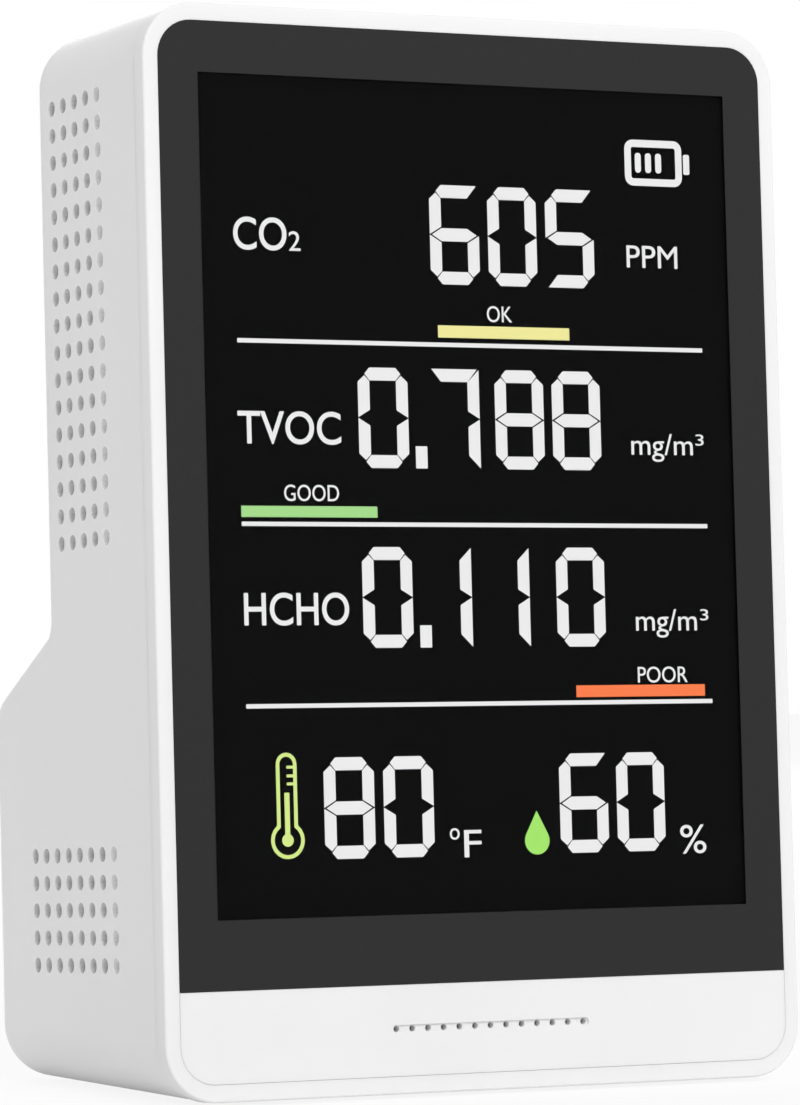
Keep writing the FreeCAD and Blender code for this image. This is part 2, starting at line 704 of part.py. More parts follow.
def make_tray():
    """The white tray that holds the display stack, with posts on its back for the main board."""
    body = new_body("backlight_tray")
    pad(body, [("0", "glass_middle", "tray_inner_wide + 2 * tray_wall",
                "tray_inner_tall + 2 * tray_wall")], "frame_edge", "tray_back - frame_edge")
    round_edges(body, "glass_radius + fit_gap + tray_wall", runs_along_y)
    hollow = new_body("tray_hollow")
    pad(hollow, [("0", "glass_middle", "tray_inner_wide", "tray_inner_tall")],
        "frame_edge - 1", "tray_front - frame_edge + 1")
    round_edges(hollow, "glass_radius + fit_gap", runs_along_y)
    cut = body.newObject("PartDesign::Boolean", "tray_cut")
    cut.Type = "Cut"
    cut.setObjects([hollow])
    doc.recompute()
    pocket(body, [("0", "contact_z", "contact_long + 2 * fit_gap", "contact_tall + 2 * fit_gap")],
           "tray_front - 1", "tray_floor + 2")
    pad(body, [(x, z, "post_width") for x, z in TRAY_POSTS], "tray_back - 0.5", "post_long + 0.5")
    pocket(body, [(x, z, "small_screw + 2 * hole_gap") for x, z in TRAY_POSTS[:2]],
           "board_front - 4", "5")
    return stand(body)


# ---- boards, screws and sensors ----

def along_x(label, radius, long, start, y, z):
    """A cylinder that lies across the case."""
    bar = doc.addObject("Part::Cylinder", label)
    bar.Label = label
    bind(bar, "Radius", radius)
    bind(bar, "Height", long)
    bar.Placement.Rotation = FreeCAD.Rotation(Vector(0, 1, 0), 90)
    bind(bar, "Placement.Base.x", start)
    bind(bar, "Placement.Base.y", y)
    bind(bar, "Placement.Base.z", z)
    return bar


def make_main_board():
    body = new_body("main_board")
    pad(body, [("0", "(board_shoulder + board_top) / 2", "board_wide",
                "board_top - board_shoulder")], "board_front", "board_thick")
    round_edges(body, "glass_radius", runs_along_y)
    pad(body, [("0", "(board_foot + board_shoulder) / 2 + 2", "tab_wide",
                "board_shoulder - board_foot + 4")], "board_front", "board_thick")
    pocket(body, [(x, z, "small_screw + 4 * hole_gap") for x, z in BOARD_SCREWS],
           "board_front - 1", "board_thick + 2")
    return stand(body)


def block(label, corner, size):
    """A box by its lowest corner and its three sides."""
    box = doc.addObject("Part::Box", label)
    for side, length in zip(("Length", "Width", "Height"), size):
        bind(box, side, length)
    for axis, place in zip("xyz", corner):
        bind(box, f"Placement.Base.{axis}", place)
    return box


def boolean(kind, label, base, tool):
    made = doc.addObject("Part::" + kind, label)
    made.Base, made.Tool = base, tool
    made.Label = label
    doc.recompute()
    return made


def compound(label, solids, leaning=True):
    """Like solids in one node."""
    group = doc.addObject("Part::Compound", label)
    group.Label = label
    group.Links = solids
    doc.recompute()
    return stand(group, leaning)


def screw(label, seat, facing, long, shank, head, head_tall):
    """A cross-slotted screw. Its head sits at seat and faces along the turned Z axis."""
    stem = doc.addObject("Part::Cylinder", label + "_stem")
    cap = doc.addObject("Part::Cylinder", label + "_cap")
    for solid, across, tall, low in ((stem, shank, long, f"0 - ({long})"), (cap, head, head_tall, "0")):
        bind(solid, "Radius", f"{across} / 2")
        bind(solid, "Height", tall)
        bind(solid, "Placement.Base.z", low)
    made = boolean("Fuse", label + "_blank", cap, stem)
    for long_side, short_side in ((0.62, 0.16), (0.16, 0.62)):
        slot = block(label + "_slot",
                     (f"0 - {head} * {long_side / 2}", f"0 - {head} * {short_side / 2}",
                      f"{head_tall} / 2"),
                     (f"{head} * {long_side}", f"{head} * {short_side}", head_tall))
        made = boolean("Cut", label + "_slotted", made, slot)
    made.Placement.Rotation = facing
    for axis, place in zip("xyz", seat):
        bind(made, f"Placement.Base.{axis}", place)
    return made


BACKWARD = FreeCAD.Rotation(Vector(1, 0, 0), -90)
FORWARD = FreeCAD.Rotation(Vector(1, 0, 0), 90)
UPWARD = FreeCAD.Rotation()


def make_screws(label, seats, facing, long, *sizes):
    """Like screws in one node, each a solid of its own."""
    return compound(label, [screw(label, seat, facing, long, *sizes) for seat in seats])


def make_chips():
    """Parts soldered to the main board: sounder, controller, charger chip and the small sensors."""
    drum("buzzer", "0", "low_screw_z", "9", "board_front - 5.5", "5.5")
    slab("controller_chip", "-8", "board_top - 52", "12", "12", "board_back", "1.6", "0.6")
    slab("charger_chip", "22", "battery_level + 24", "5", "5", "board_back", "1.0")
    slab("tvoc_sensor", "chip_side - board_wide / 2", "board_top - 44", "3", "3", "board_back", "1.0")
    slab("climate_sensor", "board_wide / 2 - chip_side", "board_top - 32", "2.5", "2.5",
         "board_back", "0.9")


def make_gas_sensors():
    """The infrared carbon dioxide module at the left and the formaldehyde module at the right."""
    left, right = "0 - gas_side", "gas_side - 1"
    header_level = "gas_level - gas_board / 2 + header_deep / 2"
    slab("co2_header", left, header_level, "12.5", "header_deep", "board_back", "header_tall")
    slab("co2_sensor_board", left, "gas_level", "33", "gas_board", "module_front", "small_board", "1")
    slab("co2_chamber", left, "gas_level", "chamber_long", "chamber_tall",
         "module_back", "chamber_deep", "2")
    drum("co2_membrane", left, "gas_level", "9", "module_back + chamber_deep", "0.4")
    middle = ("module_back + chamber_deep / 2", "gas_level")
    for label, along, across, start, rim_start in (
        ("co2_lamp", "3.2", "3.6", f"{left} - chamber_long / 2 - 3.2",
         f"{left} - chamber_long / 2 - 3.2"),
        ("co2_detector", "3.8", "5.4", f"{left} + chamber_long / 2",
         f"{left} + chamber_long / 2 + 3.8 - can_rim_thick"),
    ):
        can = along_x(label + "_can", f"{across} / 2", along, start, *middle)
        rim = along_x(label + "_rim", f"({across} + can_rim) / 2", "can_rim_thick", rim_start, *middle)
        stand(boolean("Fuse", label, can, rim))
    slab("hcho_header", right, header_level, "10", "header_deep", "board_back", "header_tall")
    slab("hcho_sensor_board", right, "gas_level", "gas_board", "gas_board", "module_front",
         "small_board", "1")
    drum("hcho_cell", right, "gas_level", "cell_width", "module_back", "cell_deep")
    drum("hcho_membrane", right, "gas_level", "5", "module_back + cell_deep", "0.3")


# ---- battery and charging ----

def make_battery():
    """A round lithium cell across the foot of the case, in a cradle on the back wall."""
    place = ("battery_middle", "battery_level")
    can = along_x("cell_can", "battery_width / 2", "battery_long", "0 - battery_long / 2", *place)
    nub = along_x("cell_nub", "nub_width / 2", "nub_long + 1", "0 - battery_long / 2 - nub_long", *place)
    stand(boolean("Fuse", "battery_cell", can, nub))
    disc = along_x("guard_disc", "battery_width / 2 - 0.7", "guard_thick", "battery_long / 2", *place)
    hole = along_x("guard_hole", "1", "guard_thick + 2", "battery_long / 2 - 1", *place)
    stand(boolean("Cut", "battery_guard_board", disc, hole))

    bed_radius = "battery_width / 2 + fit_gap"
    cradle = block("cradle_block",
                   ("0 - cradle_long / 2", "battery_middle",
                    f"battery_level - ({bed_radius}) - cradle_wall"),
                   ("cradle_long", "inner_back - battery_middle", f"2 * ({bed_radius} + cradle_wall)"))
    bed = along_x("cradle_bed", bed_radius, "cradle_long + 2", "0 - cradle_long / 2 - 1", *place)
    stand(boolean("Cut", "battery_cradle", cradle, bed))

    outer = along_x("strap_outer", f"{bed_radius} + strap_thick", "strap_wide",
                    "0 - strap_wide / 2", *place)
    inner = along_x("strap_inner", "battery_width / 2 + fit_gap / 2", "strap_wide + 2",
                    "0 - strap_wide / 2 - 1", *place)
    band = boolean("Cut", "strap_ring", outer, inner)
    behind = block("strap_behind",
                   ("0 - strap_wide / 2 - 2", "battery_middle", "battery_level - battery_width"),
                   ("strap_wide + 4", "battery_width", "battery_width * 2"))
    stand(boolean("Cut", "battery_strap", band, behind))

    slab("battery_socket", "plug_x", "battery_level", "5", "8", "board_back", "3.5", "0.4")
    slab("battery_plug", "plug_x", "battery_level", "4.4", "7", "board_back + 3.5", "4", "0.4")
    make_battery_leads()


def make_battery_leads():
    """Two insulated leads from the guard board, round one bend, to the plug on the main board."""
    start = number("battery_long / 2 + guard_thick")
    turn_x, plug_y = number("plug_x"), number("board_back + 7.5")
    bend, y = number("lead_bend"), number("battery_middle")
    leads = []
    for offset in (-1.5, 1.5):
        z = number("battery_level") + offset
        middle = Vector(turn_x - bend, y - bend, z)
        half = bend * math.sqrt(0.5)
        first = Part.LineSegment(Vector(start, y, z), Vector(turn_x - bend, y, z))
        arc = Part.Arc(Vector(turn_x - bend, y, z), middle + Vector(half, half, 0),
                       Vector(turn_x, y - bend, z))
        last = Part.LineSegment(Vector(turn_x, y - bend, z), Vector(turn_x, plug_y, z))
        path = Part.Wire([first.toShape(), arc.toShape(), last.toShape()])
        ring = Part.Circle(Vector(start, y, z), Vector(1, 0, 0), number("lead_width") / 2)
        lead = path.makePipeShell([Part.Wire(ring.toShape())], True, False)
        leads.append(lead)
    wires = doc.addObject("Part::Feature", "battery_leads")
    wires.Label = "battery_leads"
    wires.Shape = Part.Compound(leads)
    return stand(wires)


def make_charging():
    """A small level board on two posts, with the charging socket at the back wall."""
    body = new_body("charge_board")
    pad(body, [("0", "charge_back - charge_long / 2", "charge_wide", "charge_long")],
        "charge_low", "small_board", "XY_Plane")
    pocket(body, [(x, CHARGE_SCREW_Y, "small_screw + 4 * hole_gap") for x in CHARGE_SCREWS],
           "charge_low - 1", "small_board + 2", "XY_Plane")
    stand(body)

    make_screws("charge_board_screws", [(x, CHARGE_SCREW_Y, "charge_top") for x in CHARGE_SCREWS],
                UPWARD, "5", "small_screw", "small_head", "small_head_tall")

    shell = new_body("usb_shell")
    pad(shell, [("0", "usb_level", "usb_wide", "usb_tall")], "usb_mouth - usb_long", "usb_long")
    round_edges(shell, "usb_tall / 2 - 0.1", runs_along_y)
    mouth = new_body("usb_mouth_form")
    pad(mouth, [("0", "usb_level", "usb_wide - 2 * usb_sheet", "usb_tall - 2 * usb_sheet")],
        "usb_mouth - usb_long + 1.2", "usb_long")
    round_edges(mouth, "usb_tall / 2 - usb_sheet - 0.1", runs_along_y)
    cut = shell.newObject("PartDesign::Boolean", "usb_cut")
    cut.Type = "Cut"
    cut.setObjects([mouth])
    doc.recompute()
    stand(shell)
    slab("usb_tongue", "0", "usb_level", "6.6", "0.7", "usb_mouth - usb_long + 1.2", "usb_long - 1.9")

    slab("charge_sockets", "0", "charge_top + 1", "9", "2", "charge_back - charge_long", "4")
    slab("board_charge_socket", "0", "charge_top + 1", "9", "3", "board_back", "3")
    slab("charge_ribbon", "0", "charge_top + 1", "7", "0.8", "board_back + 3",
         "charge_back - charge_long - board_back - 3")


# ---- keys ----

def make_key(name, x):
    """A round push key: a cap through the back wall, its flange behind it and its stem."""
    cap = new_body(f"{name}_button")
    root = "(flange_back - 0.4)"
    pad(cap, [(x, "key_level", "key_width")], root, f"depth_upper + key_proud - {root}")
    round_edges(cap, "key_edge", lambda edge: edge.CenterOfGravity.y > number("depth_upper"))
    pad(cap, [(x, "key_level", "key_width + 2 * (key_gap + flange_lip)")],
        "flange_back - flange_thick", "flange_thick")
    pad(cap, [(x, "key_level", "stem_width")], "stem_front", "stem_long + 0.3")
    stand(cap)
    drum(f"{name}_plunger", x, "key_level", "plunger_width", "stem_front - plunger_out - plunger_in",
         "plunger_out + plunger_in")


def make_key_board():
    """The small board behind the keys, with three switches, two screws and a ribbon to the main board."""
    body = new_body("key_board")
    pad(body, [("0", "key_level", "key_board_wide", "key_board_tall")],
        "key_board_front", "small_board")
    round_edges(body, "1", runs_along_y)
    pocket(body, [(x, "key_level", "small_screw + 4 * hole_gap") for x in KEY_SCREWS],
           "key_board_front - 1", "small_board + 2")
    stand(body)

    switches = []
    for x in KEYS.values():
        case = block("switch_case", (f"({x}) - switch_wide / 2", "key_board_back",
                                     "key_level - switch_wide / 2"),
                     ("switch_wide", "switch_tall", "switch_wide"))
        bore = doc.addObject("Part::Cylinder", "switch_bore_form")
        bind(bore, "Radius", "plunger_width / 2 + key_gap")
        bind(bore, "Height", "switch_bore + 1")
        bore.Placement.Rotation = BACKWARD
        for axis, place in zip("xyz", (x, "switch_back - switch_bore", "key_level")):
            bind(bore, f"Placement.Base.{axis}", place)
        switches.append(boolean("Cut", "switch_one", case, bore))
    compound("key_switches", switches)
    make_screws("key_board_screws", [(x, "key_board_front", "key_level") for x in KEY_SCREWS],
                FORWARD, "small_board + 4", "small_screw", "small_head", "small_head_tall")
    slab("key_ribbon", "18", "key_level - 3", "8", "0.8", "board_back",
         "key_board_front - board_back")


def make_feet():
    """Four soft round pads, sunk in the underside, that touch the table."""
    pads = []
    for x, y in FEET:
        disc = doc.addObject("Part::Cylinder", "foot")
        bind(disc, "Radius", "foot_width / 2")
        bind(disc, "Height", "foot_sunk + foot_proud")
        bind(disc, "Placement.Base.x", x)
        bind(disc, "Placement.Base.y", y)
        bind(disc, "Placement.Base.z", "0 - foot_proud")
        pads.append(disc)
    return compound("rubber_feet", pads, leaning=False)


KEYS = {"power": "0 - key_pitch", "mode": "0", "set": "key_pitch"}
KEY_SCREWS = ("key_board_wide / 2 - 4", "4 - key_board_wide / 2")
CHARGE_SCREWS = ("charge_wide / 2 - 3", "3 - charge_wide / 2")
CHARGE_SCREW_Y = "charge_back - charge_long + 3"
HOOKS = ("0 - 25", "25")
FEET = [(x, y) for x in ("0 - foot_x", "foot_x") for y in ("foot_front", "foot_back")]
TRAY_POSTS = [("0 - top_screw_x", "top_screw_z"), ("top_screw_x", "top_screw_z"),
              ("0 - top_screw_x", "window_middle"), ("top_screw_x", "window_middle")]
BOARD_SCREWS = [("0 - top_screw_x", "top_screw_z"), ("top_screw_x", "top_screw_z"),
                ("0 - low_screw_x", "low_screw_z"), ("low_screw_x", "low_screw_z")]

make_rear_housing()
make_front_frame()
make_lower_strip()
make_panel()
make_display()
make_tray()
make_main_board()
make_screws("board_screws", [(x, "board_back", z) for x, z in BOARD_SCREWS], BACKWARD,
            "board_thick + 3.2", "small_screw", "small_head", "small_head_tall")
make_screws("case_screws",
            [(x, "seat_back", "case_screw_z") for x in ("0 - case_screw_x", "case_screw_x")],
            BACKWARD, "case_screw_long", "case_screw", "case_head", "case_head_tall")
make_chips()
make_gas_sensors()
make_battery()
make_charging()
for key, place in KEYS.items():
    make_key(key, place)
make_key_board()
make_feet()
doc.recompute()

for thing in doc.Objects:
    if any(word in thing.State for word in ("Invalid", "Error")):
        raise RuntimeError(f"{thing.Label} did not build: {thing.State}")
for piece in PARTS:
    if piece.Shape.isNull() or not piece.Shape.isValid():
        raise RuntimeError(f"{piece.Label} has no valid shape")

os.makedirs("parts", exist_ok=True)
for piece in PARTS:
    piece.Shape.exportStep(f"parts/{piece.Label}.step")
print(len(PARTS), "pieces")
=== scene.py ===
import json
from math import asin, cos, pi, radians, sin

import bmesh
import bpy
from mathutils import Matrix, Vector


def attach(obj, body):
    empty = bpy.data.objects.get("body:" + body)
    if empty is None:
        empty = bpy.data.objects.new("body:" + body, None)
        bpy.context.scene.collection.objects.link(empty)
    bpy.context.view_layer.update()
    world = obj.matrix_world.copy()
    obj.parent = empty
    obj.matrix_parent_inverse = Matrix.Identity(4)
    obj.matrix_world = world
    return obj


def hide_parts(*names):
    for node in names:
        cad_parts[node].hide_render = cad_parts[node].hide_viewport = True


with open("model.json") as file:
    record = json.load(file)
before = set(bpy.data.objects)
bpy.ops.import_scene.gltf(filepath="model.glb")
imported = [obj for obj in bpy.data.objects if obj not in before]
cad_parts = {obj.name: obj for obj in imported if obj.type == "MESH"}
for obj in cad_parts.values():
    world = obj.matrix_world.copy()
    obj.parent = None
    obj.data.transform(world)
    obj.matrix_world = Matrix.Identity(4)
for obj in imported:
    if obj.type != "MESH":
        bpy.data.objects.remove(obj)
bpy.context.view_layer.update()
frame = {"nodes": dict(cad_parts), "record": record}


# The table and the studio round it: a white table top, a white room, one large soft lamp over the
# front and two weaker ones behind. The table looks white, and keeps a faint shadow.

def linear(code):
    """A colour written as sRGB hex, as linear red, green, blue and an alpha of 1."""
    parts = [int(code[at:at + 2], 16) / 255 for at in (0, 2, 4)]
    return tuple(p / 12.92 if p <= 0.04045 else ((p + 0.055) / 1.055) ** 2.4 for p in parts) + (1.0,)


def add(tree, kind, sockets=None, **settings):
    """Adds one shader node. A socket is given a value, or another node's output to link."""
    node = tree.nodes.new("ShaderNode" + kind)
    for name, value in settings.items():
        setattr(node, name, value)
    for name, value in (sockets or {}).items():
        if isinstance(value, bpy.types.NodeSocket):
            tree.links.new(value, node.inputs[name])
        else:
            node.inputs[name].default_value = value
    return node


def blank_tree(owner):
    """Turns nodes on for a material or a world and empties its tree."""
    owner.use_nodes = True
    owner.node_tree.nodes.clear()
    return owner.node_tree


def seen_directly(tree):
    """1 for rays that look straight at, mirror or pass through to a surface, otherwise 0."""
    ray = add(tree, "LightPath")
    mirrored = add(tree, "Math", {0: ray.outputs["Is Camera Ray"], 1: ray.outputs["Is Glossy Ray"]},
                   operation="MAXIMUM")
    return add(tree, "Math", {0: mirrored.outputs[0], 1: ray.outputs["Is Transmission Ray"]},
               operation="MAXIMUM").outputs[0]


camera_place = Vector((-0.35975, -0.69908, 0.06392))
camera_aim = Vector((0.00777, 0.01141, 0.07610))
camera_roll = radians(-0.302)

camera = bpy.data.objects.new("camera", bpy.data.cameras.new("camera"))
camera.data.lens = 177.33
camera.data.sensor_width = 36
camera.data.clip_start = 0.01
turn = (camera_aim - camera_place).to_track_quat("-Z", "Y").to_matrix().to_4x4()
camera.matrix_world = Matrix.Translation(camera_place) @ turn @ Matrix.Rotation(camera_roll, 4, "Z")
bpy.context.scene.collection.objects.link(camera)
bpy.context.scene.camera = camera
bpy.context.scene.view_settings.view_transform = "Standard"

room_light = 0.505
room = bpy.data.worlds.new("white_room")
tree = blank_tree(room)
lit = add(tree, "Background", {"Color": linear("ffffff"), "Strength": room_light})
plain = add(tree, "Background", {"Color": linear("ffffff"), "Strength": 1.0})
both = add(tree, "MixShader", {0: seen_directly(tree), 1: lit.outputs[0], 2: plain.outputs[0]})
add(tree, "OutputWorld", {"Surface": both.outputs[0]})
bpy.context.scene.world = room

table_half = 3.0
shadow_share = 0.12
top = bpy.data.materials.new("white_laminate")
tree = blank_tree(top)
speckle = add(tree, "TexNoise", {"Scale": 1 / 0.004})
mottle = add(tree, "ValToRGB", {"Fac": speckle.outputs["Fac"]})
mottle.color_ramp.elements[0].color = linear("f2f2f2")
mottle.color_ramp.elements[1].color = linear("fafafa")
laminate = add(tree, "BsdfDiffuse", {"Color": mottle.outputs[0]})
glow = add(tree, "Emission", {"Color": linear("ffffff"), "Strength": 1.0})
share = add(tree, "Math", {0: seen_directly(tree), 1: 1 - shadow_share}, operation="MULTIPLY")
mixed = add(tree, "MixShader", {0: share.outputs[0], 1: laminate.outputs[0], 2: glow.outputs[0]})
add(tree, "OutputMaterial", {"Surface": mixed.outputs[0]})

bm = bmesh.new()
bmesh.ops.create_grid(bm, x_segments=1, y_segments=1, size=table_half)
table = bpy.data.objects.new("table_top", bpy.data.meshes.new("table_top"))
bm.to_mesh(table.data)
bm.free()
table.data.materials.append(top)
bpy.context.scene.collection.objects.link(table)

# name, place, aim, side in metres, watts
LAMPS = [
    ("front_lamp", (-0.10, -2.70, 2.10), (0.0, 0.0, 0.07), 1.6, 58.0),
    ("left_lamp", (-1.10, 0.95, 0.60), (0.0, 0.0, 0.07), 0.5, 2.0),
    ("rear_lamp", (0.70, 1.50, 0.80), (0.0, 0.0, 0.07), 0.8, 8.0),
]
for name, place, aim, side, watts in LAMPS:
    lamp = bpy.data.objects.new(name, bpy.data.lights.new(name, "AREA"))
    lamp.data.size = side
    lamp.data.energy = watts
    lamp.matrix_world = (Matrix.Translation(place)
                         @ (Vector(aim) - Vector(place)).to_track_quat("-Z", "Y").to_matrix().to_4x4())
    bpy.context.scene.collection.objects.link(lamp)


# The case: rear tub, front frame and lower strip, injection moulded in white ABS from tools with a
# fine spark-eroded texture, so the skin is matte with a broad soft highlight and no mirror shine.

def new_finish(name, colour="808080", roughness=0.5, **values):
    """A material with one Principled shader. Returns the material, its tree and the shader."""
    finish = bpy.data.materials.new(name)
    tree = blank_tree(finish)
    sockets = {"Base Color": linear(colour), "Roughness": roughness}
    sockets.update({socket.replace("_", " "): value for socket, value in values.items()})
    shader = add(tree, "BsdfPrincipled", sockets)
    add(tree, "OutputMaterial", {"Surface": shader.outputs[0]})
    return finish, tree, shader


def texture_place(tree, stretch=(1, 1, 1)):
    """Object coordinates in metres, stretched, as a texture's Vector."""
    place = add(tree, "TexCoord")
    return add(tree, "Mapping", {"Vector": place.outputs["Object"], "Scale": stretch}).outputs[0]


def roughen(tree, shader, grain_mm, rise_mm, soft=0.0, stretch=(1, 1, 1)):
    """Gives a surface the fine relief of its tool, and lets its roughness wander by soft."""
    spot = texture_place(tree, stretch)
    grain = add(tree, "TexNoise", {"Vector": spot, "Scale": 1000 / grain_mm, "Detail": 3.0})
    relief = add(tree, "Bump", {"Height": grain.outputs["Fac"], "Distance": rise_mm / 1000,
                                "Strength": 1.0})
    tree.links.new(relief.outputs[0], shader.inputs["Normal"])
    if soft:
        middle = shader.inputs["Roughness"].default_value
        sweep = add(tree, "TexNoise", {"Vector": spot, "Scale": 1000 / (40 * grain_mm)})
        wander = add(tree, "MapRange", {"Value": sweep.outputs["Fac"], "To Min": middle - soft,
                                        "To Max": middle + soft})
        tree.links.new(wander.outputs[0], shader.inputs["Roughness"])
    return grain


def tint(tree, shader, pattern, low, high, start=0.35, end=0.65):
    """Colours a surface between two hex colours by a pattern."""
    ramp = add(tree, "ValToRGB", {"Fac": pattern})
    ramp.color_ramp.elements[0].position = start
    ramp.color_ramp.elements[0].color = linear(low)
    ramp.color_ramp.elements[1].position = end
    ramp.color_ramp.elements[1].color = linear(high)
    tree.links.new(ramp.outputs[0], shader.inputs["Base Color"])


def dress(finish, *parts):
    """Gives CAD parts their finish."""
    for part in parts:
        for slot in frame["nodes"][part].material_slots:
            slot.material = finish


# grain is drawn at 0.35 mm, coarser than the 0.05 mm of the tool, so that it shows
case_plastic, tree, shader = new_finish("matte_moulded_white_abs", "eeeeee", 0.56, IOR=1.53,
                                        Specular_IOR_Level=0.4, Subsurface_Weight=0.25,
                                        Subsurface_Scale=0.001, Subsurface_Radius=(1, 1, 1))
grain = roughen(tree, shader, 0.35, 0.004, soft=0.05)
cloud = add(tree, "TexNoise", {"Vector": texture_place(tree), "Scale": 1000 / 30})
tint(tree, shader, cloud.outputs["Fac"], "ededed", "efefef")
dress(case_plastic, "rear_housing", "front_frame", "lower_strip")


# The lens: clear polished acrylic, laser cut, with a matt dark grey border screen printed on its
# face, and held on the ledge of the frame by a gasket of black foam.

lens_acrylic = bpy.data.materials.new("polished_clear_acrylic")
tree = blank_tree(lens_acrylic)
wipe_marks = add(tree, "TexNoise", {"Vector": texture_place(tree, (1, 1, 0.3)), "Scale": 1000 / 12})
polish = add(tree, "MapRange", {"Value": wipe_marks.outputs["Fac"], "To Min": 0.05, "To Max": 0.06})
surface = add(tree, "BsdfPrincipled", {"Base Color": linear("0a0a0b"), "Roughness": polish.outputs[0],
                                       "IOR": 1.49})
clear = add(tree, "BsdfTransparent")
see_through = 0.96
glazed = add(tree, "MixShader", {0: see_through, 1: surface.outputs[0], 2: clear.outputs[0]})
add(tree, "OutputMaterial", {"Surface": glazed.outputs[0]})
dress(lens_acrylic, "lens")

border_ink, tree, shader = new_finish("screen_printed_grey_ink", "2f2f30", 0.55,
                                      Specular_IOR_Level=0.06)
# the mesh of the screen leaves a grain of 0.12 mm, drawn at 0.3 mm
grain = roughen(tree, shader, 0.3, 0.002, soft=0.06)
tint(tree, shader, grain.outputs["Fac"], "2e2e2f", "303031")
dress(border_ink, "lens_border_print")

foam, tree, shader = new_finish("closed_cell_foam_tape", "161616", 0.9, IOR=1.45)
cells = add(tree, "TexVoronoi", {"Vector": texture_place(tree), "Scale": 1000 / 0.4})
dents = add(tree, "Bump", {"Height": cells.outputs["Distance"], "Distance": 0.00005})
tree.links.new(dents.outputs[0], shader.inputs["Normal"])
tint(tree, shader, cells.outputs["Distance"], "0e0e0e", "1e1e1e", 0.1, 0.7)
dress(foam, "lens_tape", "battery_strap")


# The face of the display: a dark polarising film on glass, black between the lit marks. It is
# a thin sheet with rounded corners, laid against the back of the lens.

def upright_frame():
    """The leaning case's own axes: across, up and outwards, from the middle of its front foot."""
    press = Vector(frame["record"]["behaviour"]["joints"][0]["axis"]).normalized()
    across = Vector((1, 0, 0))
    up = press.cross(across)
    rim = [v.co for v in frame["nodes"]["front_frame"].data.vertices]
    foot = min(p.dot(up) for p in rim)
    face = max(p.dot(press) for p in rim)
    axes = Matrix((across, up, press)).transposed().to_4x4()
    return Matrix.Translation(up * foot + press * face) @ axes


case_axes = upright_frame()
lens_back = min((case_axes.inverted() @ v.co).z for v in frame["nodes"]["lens"].data.vertices)
mm = 0.001
face_thick = 0.25
mark_thick = 0.05
mark_gap = 0.02
face_front = lens_back / mm - mark_gap - mark_thick
# the marks are drawn from where they meet the front face in the eye of a viewer at the left
view_slope = 0.517
mark_axes = case_axes @ Matrix.Translation((-view_slope * face_front * mm, 0, face_front * mm))


def place_piece(name, bm, finish, matrix, body="case"):
    """Closes a shape's seams, puts it in its place and makes it a piece on a body."""
    bmesh.ops.remove_doubles(bm, verts=bm.verts, dist=1e-4)
    bmesh.ops.recalc_face_normals(bm, faces=bm.faces)
    bm.transform(matrix @ Matrix.Scale(mm, 4))
    piece = bpy.data.objects.new(name, bpy.data.meshes.new(name))
    bm.to_mesh(piece.data)
    bm.free()
    piece.data.materials.append(finish)
    bpy.context.scene.collection.objects.link(piece)
    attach(piece, body)
    return piece


def rounded_sheet(bm, left, low, wide, tall, back, thick, corner, segments=8):
    """A flat sheet in millimetres on the face, with rounded corners."""
    place = Matrix.Translation((left + wide / 2, low + tall / 2, back + thick / 2))
    cube = bmesh.ops.create_cube(bm, size=1, matrix=place @ Matrix.Diagonal((wide, tall, thick, 1)))
    posts = [e for e in {e for v in cube["verts"] for e in v.link_edges}
             if abs(e.verts[0].co.z - e.verts[1].co.z) > thick / 2]
    bmesh.ops.bevel(bm, geom=posts, offset=corner, segments=segments, affect="EDGES", profile=0.5,
                    material=-1)


film, tree, shader = new_finish("antiglare_polarising_film", "070708", 0.4, IOR=1.5,
                                Specular_IOR_Level=0.01)
grain = roughen(tree, shader, 0.5, 0.001, soft=0.05)
tint(tree, shader, grain.outputs["Fac"], "060607", "09090a")

face_corner = 1.0
inverse = case_axes.inverted()
film_points = [inverse @ v.co / mm for v in frame["nodes"]["front_polariser"].data.vertices]
face_low = min(point.y for point in film_points)
face_tall = max(point.y for point in film_points) - face_low
face_wide = max(point.x for point in film_points) - min(point.x for point in film_points)
bm = bmesh.new()
rounded_sheet(bm, -face_wide / 2, face_low, face_wide, face_tall, face_front - face_thick, face_thick,
              face_corner)
display_face = place_piece("display_face", bm, film, case_axes)
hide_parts("front_polariser")


# The lit figures: liquid crystal strokes that let the white backlight through. Each figure has up
# to seven strokes, 1.8 mm wide with mitred ends and clipped corners.

figure_wide = 7.77
figure_tall = 14.0
stroke = 1.8
corner_clip = 1.86
LIT_STROKES = {"0": "abcdef", "1": "bc", "5": "acdfg", "6": "acdefg", "7": "abc", "8": "abcdefg"}
SQUARE_FIGURES = "17"


def raise_mark(bm, faces):
    """Gives flat faces the thickness of a mark."""
    raised = bmesh.ops.extrude_face_region(bm, geom=faces)
    tops = [v for v in raised["geom"] if isinstance(v, bmesh.types.BMVert)]
    bmesh.ops.translate(bm, verts=tops, vec=(0, 0, mark_thick))


def plate(bm, outline):
    """A thin raised mark with the given outline, in millimetres."""
    raise_mark(bm, [bm.faces.new([bm.verts.new((x, y, 0)) for x, y in outline])])


def level_stroke(left_joined, right_joined):
    """The top stroke, as points across and down from the figure's upper left corner."""
    joined = [(corner_clip, stroke), (1.08, 0.86), (corner_clip, 0)]
    free = [(stroke, stroke), (0.3, 0)]
    left = joined if left_joined else free
    right = [(figure_wide - x, y) for x, y in reversed(joined if right_joined else free)]
    return left + right


def upright_stroke(square):
    """The upper left stroke. A square one runs to the figure's corner."""
    end = [(0, 0.1), (stroke, 1.85)] if square else [(0, 2.0), (1.03, 1.1), (stroke, 1.9)]
    return end + [(stroke, 5.9), (0, 6.94)]


